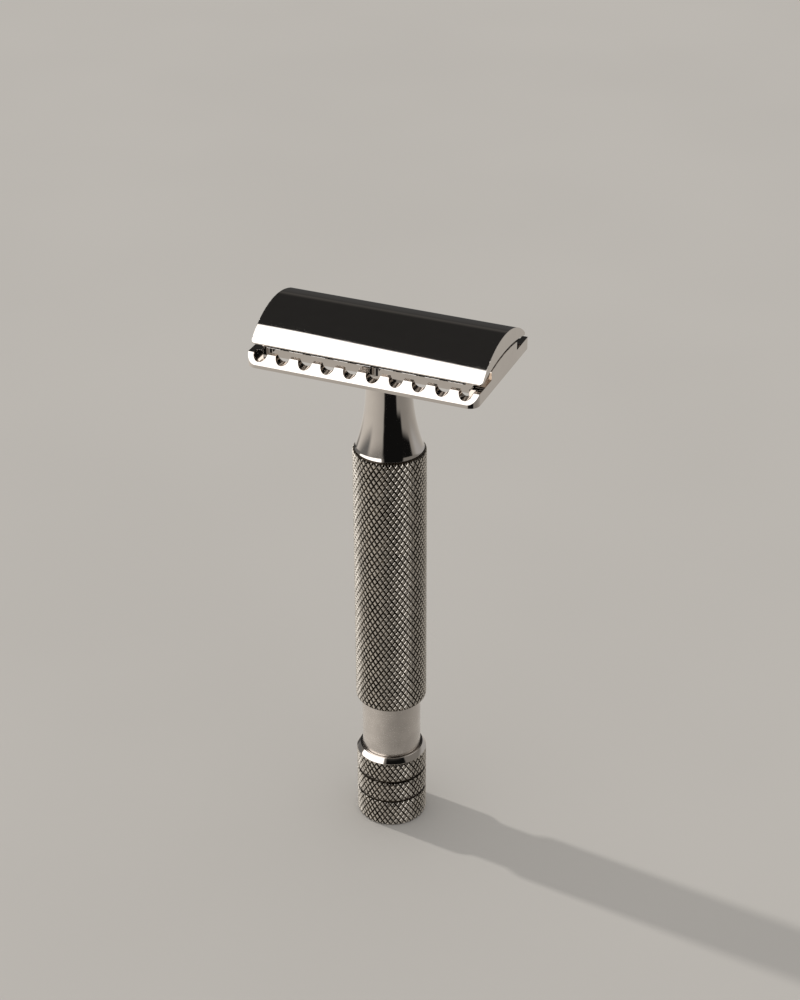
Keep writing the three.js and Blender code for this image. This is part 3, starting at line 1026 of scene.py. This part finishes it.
@dataclass(frozen=True)
class ClampParts:
    """The threaded stud and the two locating pins under the cap."""

    stud_core: float = 2.0
    stud_chamfer: float = 0.4
    thread_pitch: float = 0.8
    thread_half_foot: float = 0.46
    turn_steps: int = 48
    core_steps: int = 96
    thread_crisp: float = 32.0
    pin_chamfer: float = 0.25
    pin_round: float = 0.08
    pin_steps: int = 64

    def stud(self) -> bpy.types.Object:
        """Makes the stud with its helical thread.

        Returns:
            The settled stud.
        """
        span = Span.of("cap_stud")
        crest, low, high = span.high.x, span.low.z, span.high.z
        tree = GeometryTree("stud_thread")
        nodes = tree.nodes
        pitch = tree.given("Pitch", self.thread_pitch)
        outer = tree.given("Crest radius", crest)
        core = tree.given("Core radius", self.stud_core)
        bottom = tree.given("Bottom", low)
        top = tree.given("Top", high)
        chamfer = tree.given("End chamfer", self.stud_chamfer)
        material = tree.given("Material", WARDROBE.get(SATIN))
        length = nodes.math("SUBTRACT", top, bottom)
        ridge = nodes.math("SUBTRACT", outer, core)
        helix = nodes.add("GeometryNodeCurveSpiral", {
            "Resolution": self.turn_steps, "Rotations": nodes.math("DIVIDE", length, pitch),
            "Start Radius": core, "End Radius": core, "Height": length})
        raised = nodes.add("GeometryNodeTransform", {
            "Geometry": helix, "Translation": nodes.join(0.0, 0.0, bottom)})
        level = nodes.add("GeometryNodeSetCurveNormal", {"Curve": raised}, mode="Z_UP")
        rhomb = nodes.add("GeometryNodeCurvePrimitiveCircle", {"Resolution": 4, "Radius": 1.0})
        size = nodes.join(ridge, nodes.math("MULTIPLY", pitch, self.thread_half_foot), 1.0)
        shape = nodes.add("GeometryNodeTransform", {"Geometry": rhomb, "Scale": size})
        thread = nodes.add("GeometryNodeCurveToMesh",
                           {"Curve": level, "Profile Curve": shape, "Fill Caps": True})
        rod = nodes.add("GeometryNodeMeshCylinder", {
            "Vertices": self.core_steps, "Radius": core, "Depth": length})
        centre = nodes.math("MULTIPLY", nodes.math("ADD", bottom, top), 0.5)
        shank = nodes.add("GeometryNodeTransform", {
            "Geometry": rod, "Translation": nodes.join(0.0, 0.0, centre)})
        both = nodes.add("GeometryNodeJoinGeometry", {0: thread})
        nodes.feed(both.inputs[0], shank.outputs[0])
        tree.close(trimmed(nodes, both, outer, chamfer, bottom, top), material)
        body = tree.apply(new_object("threaded_stud", bpy.data.meshes.new("threaded_stud")))
        return settled(dressed(smooth(body, self.thread_crisp), SATIN), "cap", SATIN.slot, "cap_stud")

    def pin(self, side: str) -> bpy.types.Object:
        """Makes one locating pin.

        Args:
            side: left or right.

        Returns:
            The settled pin.
        """
        node = f"locating_pin_{side}"
        span = Span.of(node)
        radius = (span.high.x - span.low.x) / 2
        inner, c = radius - self.pin_chamfer, self.pin_chamfer
        low, high = span.low.z, span.high.z
        corners = [(0.0, low), (inner, low), (radius, low + c), (radius, high - c), (inner, high),
                   (0.0, high)]
        profile = eased(corners, self.pin_round)
        body = smooth(turned(f"pin_{side}", profile, self.pin_steps), CRISP_TURNED)
        body.data.transform(Matrix.Translation(((span.high.x + span.low.x) / 2, 0.0, 0.0)))
        return settled(dressed(body, SATIN), "cap", SATIN.slot, node)

    def build(self) -> None:
        """Makes the stud and both pins."""
        self.stud()
        for side in ("left", "right"):
            self.pin(side)


def fine_copy(node: str, name: str, rides_on: str, finish: Finish) -> bpy.types.Object:
    """Makes a merged, smooth-shaded copy of a frame node and lets it stand for the node.

    Args:
        node: The frame node.
        name: The copy's name.
        rides_on: The frame body that carries it.
        finish: Its finish.

    Returns:
        The settled copy.
    """
    bm = bmesh.new()
    bm.from_mesh(bpy.data.objects[node].data)
    bmesh.ops.scale(bm, vec=(1 / MM,) * 3, verts=bm.verts)
    body = smooth(from_bmesh(name, bm), CRISP)
    return settled(dressed(body, finish), rides_on, finish.slot, node)


# -------------------------------------------------------------------- handle


@dataclass(frozen=True)
class Neck:
    """The polished neck that flares from the plate down to the grip."""

    flare: float = 40.0
    flare_steps: int = 48
    top_radius: float = 4.26
    bore: float = 3.3
    spigot: float = 2.2
    rim_chamfer_out: float = 0.2
    rim_chamfer_up: float = 0.3
    rim_height: float = 0.05
    edge: float = 0.07
    crisp: float = 24.0

    def build(self) -> bpy.types.Object:
        """Makes, finishes and settles the neck.

        Returns:
            The settled neck.
        """
        span = Span.of("neck")
        rim = span.high.x
        spigot_radius = Span.of("core_tube").high.x
        shoulder = span.low.z + self.spigot
        foot = rim - self.rim_chamfer_out
        start = shoulder + self.rim_height + self.rim_chamfer_up
        rise = math.sqrt(self.flare**2 - (self.flare - (foot - self.top_radius)) ** 2)
        sides: list[Point] = []
        for i in range(self.flare_steps + 1):
            down = rise * (1 - i / self.flare_steps)
            radius = self.top_radius + self.flare - math.sqrt(self.flare**2 - down**2)
            sides.append((radius, start + rise - down))
        profile = [(self.bore, span.low.z), (spigot_radius, span.low.z), (spigot_radius, shoulder),
                   (rim, shoulder), (rim, shoulder + self.rim_height), *sides,
                   (self.top_radius, span.high.z), (self.bore, span.high.z)]
        body = smooth(turned("neck_body", eased(profile, self.edge), FINE_TURN), self.crisp)
        return settled(dressed(body, MIRROR_TURNED), "handle", MIRROR_TURNED.slot, "neck")


@dataclass(frozen=True)
class Grip:
    """The knurled sleeve over the upper handle."""

    knurl: Knurl = Knurl()
    bore: float = 5.85
    chamfer: float = 0.4
    edge: float = 0.05

    def build(self) -> bpy.types.Object:
        """Makes, finishes and settles the sleeve.

        Returns:
            The settled sleeve.
        """
        span = Span.of("grip_sleeve")
        crest, low, high = span.high.x, span.low.z, span.high.z
        core = crest - self.knurl.depth
        end = crest - self.chamfer
        step = core - end
        profile = [(self.bore, low), (end, low), (core, low + step), (core, high - step), (end, high),
                   (self.bore, high)]
        body = dressed(turned("grip_skin", eased(profile, self.edge), KNURL_TURN), KNURLED)
        body = joined(body, self.knurl.cut("grip_knurling", crest, low, high, self.chamfer))
        return settled(smooth(body, CRISP), "handle", KNURLED.slot, "grip_sleeve")


@dataclass(frozen=True)
class Tube:
    """The satin core tube that shows between the grip and the knob."""

    bore: float = 4.5
    edge: float = 0.12

    def build(self) -> bpy.types.Object:
        """Makes, finishes and settles the tube.

        Returns:
            The settled tube.
        """
        span = Span.of("core_tube")
        radius = span.high.x
        low, high = span.low.z, span.high.z
        profile = [(self.bore, low), (radius, low), (radius, high), (self.bore, high)]
        body = smooth(turned("satin_tube", eased(profile, self.edge), FINE_TURN), CRISP_TURNED)
        return settled(dressed(body, SATIN), "handle", SATIN.slot, "core_tube")


@dataclass(frozen=True)
class Knob:
    """The knurled knob with two turned grooves and a mirror-polished top chamfer."""

    knurl: Knurl = Knurl()
    mouth: float = 5.7
    rod_bore: float = 2.0
    screw_bore: float = 3.2
    hub_floor: float = 4.1
    hub_shank: float = 1.4
    rod_seat: float = 5.1
    shoulder: float = 11.57
    grooves: tuple[float, ...] = (5.75, 10.5)
    groove_half: float = 0.2
    band_chamfer: float = 0.16
    foot_chamfer: float = 0.3
    lip_in: float = 0.05
    lip_drop: float = 0.12
    skirt_drop: float = 0.3
    edge: float = 0.06
    top_run: float = 0.7
    top_rise: float = 1.0
    plug_gap: float = 0.1
    plug_ceiling: float = 1.9
    plug_edge: float = 0.15
    plug_steps: int = 128

    def shell(self) -> bpy.types.Object:
        """Makes the knob's body with its three knurled bands.

        Returns:
            The settled body.
        """
        span = Span.of("knob_shell")
        crest, top = span.high.x, span.high.z
        plug_bore = Span.of("knob_base_plug").high.x + self.plug_gap
        core = crest - self.knurl.depth
        collar = top - self.top_rise
        profile = [
            (plug_bore, 0.0), (crest - self.foot_chamfer, 0.0), (core, self.foot_chamfer * 0.9),
            (core, collar - self.skirt_drop), (crest - self.lip_in, collar - self.lip_drop), (crest, collar),
            (crest - self.top_run, top),
            (self.mouth, top), (self.mouth, self.shoulder), (self.rod_bore, self.shoulder),
            (self.rod_bore, self.rod_seat), (self.hub_shank, self.rod_seat),
            (self.hub_shank, self.hub_floor),
            (self.screw_bore, self.hub_floor), (self.screw_bore, self.plug_ceiling),
            (plug_bore, self.plug_ceiling),
        ]
        body = dressed(turned("knob_body", eased(profile, self.edge), KNURL_TURN), KNURLED)
        body.data.materials.append(WARDROBE.get(MIRROR_TURNED))
        for face in body.data.polygons:
            above, outside = face.center.z > collar - 0.02, face.center.xy.length > self.mouth + 0.03
            polished = above and outside
            face.material_index = 1 if polished else 0
        edges = [self.foot_chamfer * 0.5, *self.grooves, collar - self.lip_in + self.groove_half]
        bands = []
        for i, (low, high) in enumerate(zip(edges, edges[1:])):
            start = low + (self.groove_half if i else 0.0)
            band = self.knurl.cut(f"knob_band_{i}", crest, start, high - self.groove_half, self.band_chamfer)
            bands.append(band)
        body = joined(body, *bands)
        return settled(smooth(body, CRISP), "knob", KNURLED.slot, "knob_shell")

    def plug(self) -> bpy.types.Object:
        """Makes the disc that closes the knob's foot.

        Returns:
            The settled disc.
        """
        span = Span.of("knob_base_plug")
        radius, high = span.high.x, span.high.z
        profile = eased([(0.0, 0.0), (radius, 0.0), (radius, high), (0.0, high)], self.plug_edge)
        body = smooth(turned("foot_plug", profile, self.plug_steps), CRISP_TURNED)
        return settled(dressed(body, SATIN), "knob", SATIN.slot, "knob_base_plug")

    def build(self) -> None:
        """Makes the knob's two outer pieces."""
        self.shell()
        self.plug()


@dataclass(frozen=True)
class Works:
    """The pieces inside the handle, which keep their frame meshes and get their finishes."""

    finishes: tuple[tuple[str, Finish], ...] = (
        ("upper_bush", BRASS),
        ("lower_bush", BRASS),
        ("draw_rod", SATIN),
        ("rod_socket", BRASS),
        ("socket_pin", SPRING),
        ("retaining_clip", SPRING),
        ("thrust_washer", BRASS),
        ("wave_washer", SPRING),
        ("knob_screw", SPRING),
    )

    def build(self, nodes: dict[str, bpy.types.Object]) -> None:
        """Dresses each inner node.

        Args:
            nodes: The frame's objects by name.
        """
        for name, finish in self.finishes:
            dressed(nodes[name], finish)
            LOG.info("%s: frame piece in %s", name, finish.name)


# -------------------------------------------------------------------- studio

BLACK = 0.006  # what a velvet flag sends back
CUT_SOFT = (-0.006, 0.012)  # where a panel's straight cut begins and ends
HORIZON = (-6.0, 5.0)  # where the mirrored table gives way to the room, in degrees


@dataclass(frozen=True)
class Card:
    """A bright panel or a dark flag round the razor, as the polished metal sees it.

    Angles are degrees. Azimuth runs from +Y towards +X. A cut is a direction that the panel
    keeps to: only what lies on its side of the plane through the razor is lit.
    """

    azimuth: float
    half_width: float
    low: float
    high: float
    light: float
    side_soft: float = 6.0
    end_soft: float = 6.0
    cut: tuple[float, float, float] | None = None

    def mask(self, nodes: Nodes, x: object, y: object, height: object, ray: object) -> bpy.types.NodeSocket:
        """How much of the panel lies in a direction.

        Args:
            nodes: The world's tree.
            x: The direction's X.
            y: The direction's Y.
            height: The direction's elevation in degrees.
            ray: The direction itself.

        Returns:
            0 outside the panel and 1 inside it.
        """
        turn = math.radians(self.azimuth)
        ahead = nodes.math("ADD", nodes.math("MULTIPLY", x, math.sin(turn)),
                           nodes.math("MULTIPLY", y, math.cos(turn)))
        across = nodes.math("SUBTRACT", nodes.math("MULTIPLY", x, math.cos(turn)),
                            nodes.math("MULTIPLY", y, math.sin(turn)))
        angle = nodes.math("ABSOLUTE", nodes.math("ARCTAN2", across, ahead))
        side, end = math.radians(self.side_soft) / 2, self.end_soft / 2
        reach = math.radians(self.half_width)
        share = nodes.ramp(angle, reach - side, reach + side, 1.0, 0.0)
        share = nodes.math("MULTIPLY", share, nodes.ramp(height, self.low - end, self.low + end))
        share = nodes.math("MULTIPLY", share, nodes.ramp(height, self.high - end, self.high + end, 1.0, 0.0))
        if self.cut:
            over = nodes.vector("DOT_PRODUCT", ray, self.cut).outputs["Value"]
            share = nodes.math("MULTIPLY", share, nodes.ramp(over, *CUT_SOFT))
        return share


@dataclass(frozen=True)
class Studio:
    """A plain pale table, soft light, and the camera."""

    camera_at: tuple[float, float, float] = (137.38, -320.39, 275.08)
    pan: float = 22.904
    tilt: float = -30.386
    roll: float = -0.252
    lens: float = 78.95
    floor_size: float = 6.0
    floor_colour: Colour = (0.575, 0.555, 0.53)
    room_light: float = 0.66
    key_azimuth: float = -82.0
    key_height: float = 40.0
    key_light: float = 1.05
    key_spread: float = 2.0
    table_tone: float = 0.45
    table_along_x: float = -0.2
    table_along_y: float = 0.06
    room_tone: float = 0.2
    mirrored_tint: Colour = (1.0, 0.96, 0.9)
    cards: tuple[Card, ...] = (
        # The dim side of the room: low down, overhead, and low at the side.
        Card(-35, 30, low=-20, high=15, light=0.06, side_soft=14, end_soft=8),
        Card(-70, 95, low=14, high=90, light=0.024, side_soft=14, end_soft=20),
        Card(-95, 34, low=-11, high=6, light=0.16, side_soft=16, end_soft=10),
        # Soft panels beyond the far side.
        Card(30, 34, low=-14, high=8, light=0.42, side_soft=20, end_soft=10),
        Card(40, 42, low=46, high=76, light=0.9, side_soft=16, end_soft=12),
        # A black flag in overlapping steps, which widen upwards as far as the horizon.
        Card(151, 29, low=-31, high=-11, light=BLACK, side_soft=8, end_soft=6),
        Card(142.5, 37.5, low=-18, high=-3, light=BLACK, side_soft=8, end_soft=6),
        Card(129, 51, low=-9, high=5, light=BLACK, side_soft=8, end_soft=6),
        Card(144, 32, low=-6, high=42, light=BLACK, side_soft=6, end_soft=20),
        # The bright panel, whose straight cut ends in a line along the cap.
        Card(-136.5, 39.5, low=6, high=90, light=1.9, side_soft=4, end_soft=3, cut=(-0.78, -0.62, -0.365)),
    )

    def camera(self) -> bpy.types.Object:
        """Makes the camera that looks down on the razor.

        Returns:
            The camera.
        """
        data = bpy.data.cameras.new("camera")
        data.lens = self.lens
        data.sensor_width = 36.0
        camera = bpy.data.objects.new("camera", data)
        bpy.context.scene.collection.objects.link(camera)
        turn = Matrix.Rotation(math.radians(self.pan), 4, "Z")
        turn @= Matrix.Rotation(math.radians(90 + self.tilt), 4, "X")
        turn @= Matrix.Rotation(math.radians(self.roll), 4, "Z")
        camera.matrix_world = Matrix.Translation(Vector(self.camera_at) * MM) @ turn
        data.clip_start, data.clip_end = 0.01, 50.0
        bpy.context.scene.camera = camera
        return camera

    def floor(self) -> bpy.types.Object:
        """Makes the pale table top, which the metal sees through the room's own map instead.

        Returns:
            The table top.
        """
        half = self.floor_size / 2
        corners = [(-half, -half), (half, -half), (half, half), (-half, half)]
        mesh = bpy.data.meshes.new("table_top")
        mesh.from_pydata([(x, y, -0.00002) for x, y in corners], [], [(0, 1, 2, 3)])
        floor = new_object("table_top", mesh)
        material = bpy.data.materials.new("pale_table")
        material.use_nodes = True
        nodes = Nodes(material.node_tree)
        shader = material.node_tree.nodes["Principled BSDF"]
        place = nodes.add("ShaderNodeTexCoord").outputs["Object"]
        cloud = nodes.ramp(nodes.grain(place, 9.0, 2.0), 0.3, 0.7)
        dull = tuple(channel * 0.97 for channel in self.floor_colour)
        nodes.feed(shader.inputs["Base Color"], nodes.blend(cloud, (*self.floor_colour, 1), (*dull, 1)))
        shader.inputs["Roughness"].default_value = 0.8
        shader.inputs["Specular IOR Level"].default_value = 0.0
        mesh.materials.append(material)
        floor.visible_glossy = False
        return floor

    def key(self) -> bpy.types.Object:
        """Makes the low sun that throws the shadow.

        Returns:
            The light.
        """
        data = bpy.data.lights.new("key", "SUN")
        data.energy = self.key_light
        data.angle = math.radians(self.key_spread)
        data.color = (1.0, 0.97, 0.92)
        key = bpy.data.objects.new("key", data)
        bpy.context.scene.collection.objects.link(key)
        side, up = math.radians(self.key_azimuth), math.radians(self.key_height)
        towards = Vector((math.sin(side) * math.cos(up), math.cos(side) * math.cos(up), math.sin(up)))
        key.rotation_mode = "QUATERNION"
        key.rotation_quaternion = towards.to_track_quat("Z", "Y")
        key.visible_glossy = False
        return key

    def room(self) -> bpy.types.World:
        """Makes the even light of the room and the map of panels and flags that the metal mirrors.

        Returns:
            The world.
        """
        world = bpy.data.worlds.new("room")
        bpy.context.scene.world = world
        world.use_nodes = True
        world.cycles.sampling_method = "NONE"
        nodes = Nodes(world.node_tree)
        background = world.node_tree.nodes["Background"]
        ray = nodes.vector("NORMALIZE", nodes.add("ShaderNodeTexCoord").outputs["Generated"]).outputs[0]
        x, y, z = nodes.split(ray)
        height = nodes.math("MULTIPLY", nodes.math("ARCSINE", z), 180 / math.pi)
        table = nodes.math("ADD", nodes.math("MULTIPLY", x, self.table_along_x),
                           nodes.math("MULTIPLY_ADD", y, self.table_along_y, self.table_tone))
        seen = nodes.math("ADD", nodes.math("MULTIPLY", nodes.ramp(height, *HORIZON, 1.0, 0.0), table),
                          nodes.ramp(height, *HORIZON, 0.0, self.room_tone))
        colour = nodes.join(*(nodes.math("MULTIPLY", seen, tint) for tint in self.mirrored_tint))
        for card in self.cards:
            share = card.mask(nodes, x, y, height, ray)
            colour = nodes.blend(share, colour, (card.light, card.light, card.light, 1))
        plain = (self.room_light, self.room_light * 0.985, self.room_light * 0.96, 1)
        mirrored = nodes.add("ShaderNodeLightPath").outputs["Is Glossy Ray"]
        nodes.feed(background.inputs["Color"], nodes.blend(mirrored, plain, colour))
        return world

    def build(self) -> None:
        """Sets up the whole studio, shown without a film curve."""
        bpy.context.scene.view_settings.view_transform = "Standard"
        self.camera()
        self.floor()
        self.key()
        self.room()


def main() -> None:
    """Builds the razor round its frame."""
    logging.basicConfig(level=logging.INFO, format="%(message)s")
    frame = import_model()
    Studio().build()
    GuardPlate().build()
    Cap().build()
    ClampParts().build()
    fine_copy("blade", "razor_blade", "blade", BLADE)
    Neck().build()
    Grip().build()
    Tube().build()
    Knob().build()
    Works().build(frame["nodes"])


if __name__ == "__main__":
    main()
